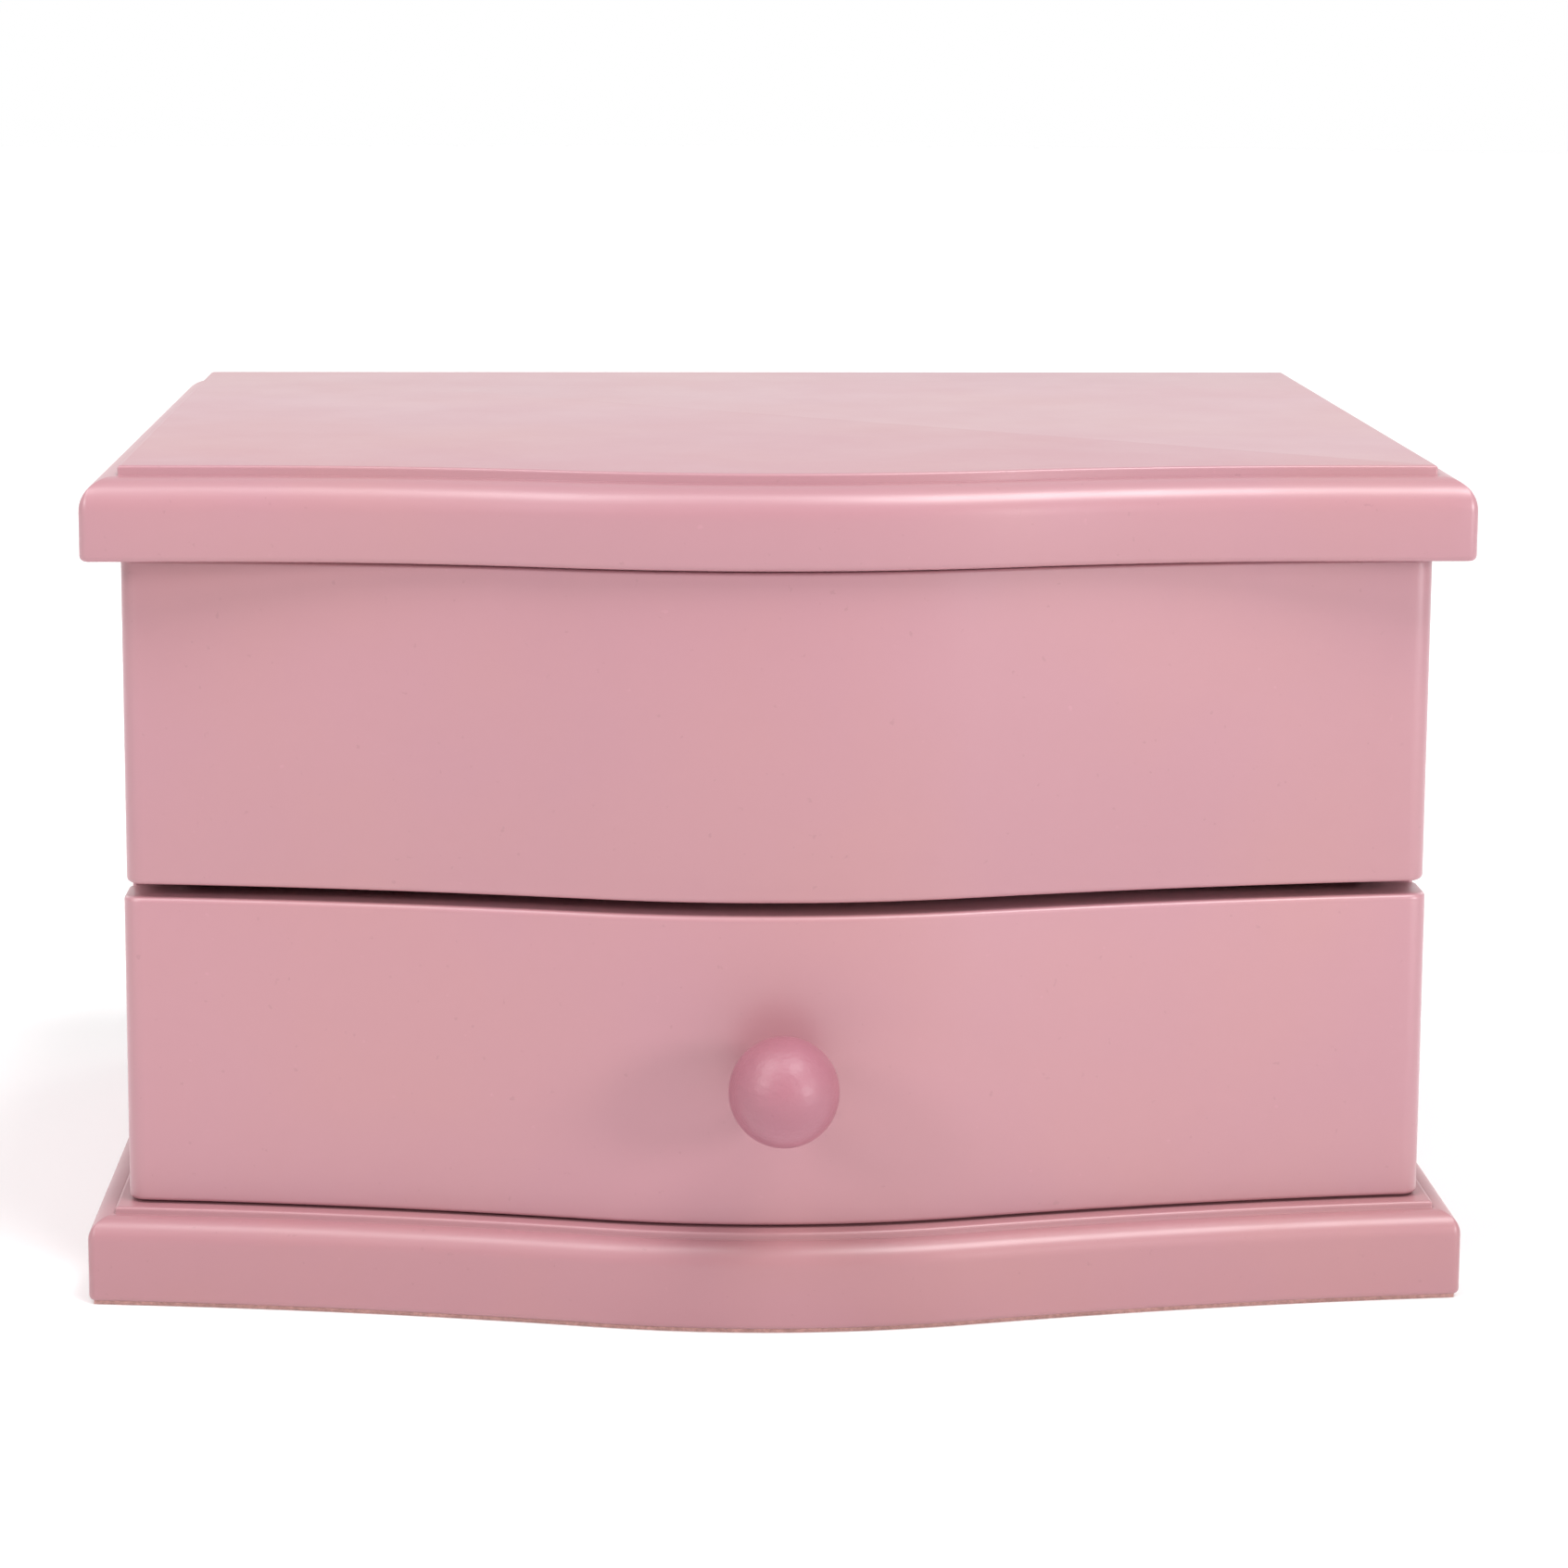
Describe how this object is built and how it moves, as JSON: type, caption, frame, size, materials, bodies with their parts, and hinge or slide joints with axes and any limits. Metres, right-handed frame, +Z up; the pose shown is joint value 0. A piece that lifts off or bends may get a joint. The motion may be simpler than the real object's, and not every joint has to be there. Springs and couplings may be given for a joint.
{
  "type": "ballerina jewellery box",
  "caption": "Musical jewellery box with a bowed front, a hinged lid with a mirror inside, a sliding drawer with a ball knob, and a dancer that rises and turns.",
  "frame": {"origin": "middle of the base's underside, bowed front included", "axes": "+Z up, +X to the right seen from the front, the drawer opens towards -Y"},
  "size_m": [0.2116, 0.1917, 0.1293],
  "materials": {
    "pink_lacquer": "satin lacquer",
    "raw_board": "matt",
    "felt": "matt",
    "pink_velvet": "velvet",
    "mirror_glass": "polished",
    "brass": "polished",
    "steel": "brushed",
    "spring_steel": "blued",
    "doll_plastic": "satin",
    "tulle": "sheer",
    "zinc": "cast"
  },
  "bodies": {
    "case": {"base_plinth": "pink_lacquer", "side_wall_left": "pink_lacquer", "side_wall_right": "pink_lacquer", "back_wall": "pink_lacquer", "front_panel": "pink_lacquer", "case_shelf": "raw_board", "drawer_stop": "raw_board", "base_felt": "felt", "shelf_lining": "pink_velvet", "wall_lining": "pink_velvet", "divider_left": "pink_velvet", "divider_right": "pink_velvet", "ring_divider": "pink_velvet", "trinket_divider": "pink_velvet", "movement_cover": "pink_velvet", "ring_roll_1": "pink_velvet", "ring_roll_2": "pink_velvet", "ring_roll_3": "pink_velvet", "ring_roll_4": "pink_velvet", "ring_roll_5": "pink_velvet", "case_leaf_left": "brass", "case_leaf_right": "brass", "hinge_pins": "brass", "case_hinge_screws": "brass", "bedplate_screws": "steel", "comb_screws": "steel", "comb": "steel", "mainspring": "spring_steel", "bedplate": "zinc", "spring_housing": "zinc", "cylinder_posts": "zinc", "governor_post": "zinc", "comb_bracket": "zinc", "spindle_bracket": "zinc"},
    "lid": {"lid_board": "pink_lacquer", "lid_lining": "pink_velvet", "mirror": "mirror_glass", "mirror_frame": "brass", "lid_leaf_left": "brass", "lid_leaf_right": "brass", "lid_hinge_screws": "brass"},
    "drawer": {"drawer_front": "pink_lacquer", "drawer_side_left": "raw_board", "drawer_side_right": "raw_board", "drawer_back": "raw_board", "drawer_bottom": "raw_board", "drawer_lining": "pink_velvet", "knob": "pink_lacquer", "knob_screw": "steel"},
    "winding": {"winding_arbor": "steel", "winding_key": "brass", "crown_wheel": "brass"},
    "cylinder": {"pinned_cylinder": "brass", "cylinder_gear": "brass"},
    "governor": {"governor_fly": "brass"},
    "spindle": {"ballerina_spindle": "brass"},
    "plunger": {"stop_plunger": "steel"},
    "dancer_fold": {"ballerina_spring": "spring_steel"},
    "dancer": {"ballerina_figure": "doll_plastic", "tutu": "tulle"}
  },
  "joints": [
    {"name": "lid_hinge", "type": "hinge", "parent": "case", "child": "lid", "pos_m": [0, 0.0816, 0.11515], "axis": [-1, 0, 0], "range_deg": [0, 100]},
    {"name": "drawer_slide", "type": "slide", "parent": "case", "child": "drawer", "axis": [0, -1, 0], "range_m": [0, 0.085]},
    {"name": "winding_turn", "type": "hinge", "parent": "case", "child": "winding", "pos_m": [0, 0.06, 0.082], "axis": [0, 1, 0], "continuous": true},
    {"name": "cylinder_turn", "type": "hinge", "parent": "case", "child": "cylinder", "pos_m": [0.02, 0.0515, 0.082], "axis": [1, 0, 0], "continuous": true},
    {"name": "governor_turn", "type": "hinge", "parent": "case", "child": "governor", "pos_m": [0.035, 0.0602, 0.082], "axis": [1, 0, 0], "continuous": true},
    {"name": "spindle_turn", "type": "hinge", "parent": "case", "child": "spindle", "pos_m": [0, 0.0515, 0.095], "axis": [0, 0, 1], "continuous": true},
    {"name": "plunger_slide", "type": "slide", "parent": "case", "child": "plunger", "axis": [0, 0, 1], "range_m": [0, 0.003]},
    {"name": "dancer_rise", "type": "hinge", "parent": "case", "child": "dancer_fold", "pos_m": [0, 0.05064, 0.10404], "axis": [-1, 0, 0], "range_deg": [0, 90], "deforming": ["ballerina_spring"]},
    {"name": "dancer_turn", "type": "hinge", "parent": "dancer_fold", "child": "dancer", "pos_m": [0, 0.0475, 0.1049], "axis": [0, -1, 0], "continuous": true}
  ],
  "couplings": [
    {"joint": "cylinder_turn", "follows": "winding_turn", "ratio": -3},
    {"joint": "governor_turn", "follows": "winding_turn", "ratio": 13.125},
    {"joint": "spindle_turn", "follows": "winding_turn", "ratio": -3},
    {"joint": "dancer_turn", "follows": "winding_turn", "ratio": -3},
    {"joint": "dancer_rise", "follows": "lid_hinge", "ratio": 0.9},
    {"joint": "plunger_slide", "follows": "lid_hinge", "m_per_rad": 0.0017}
  ]
}
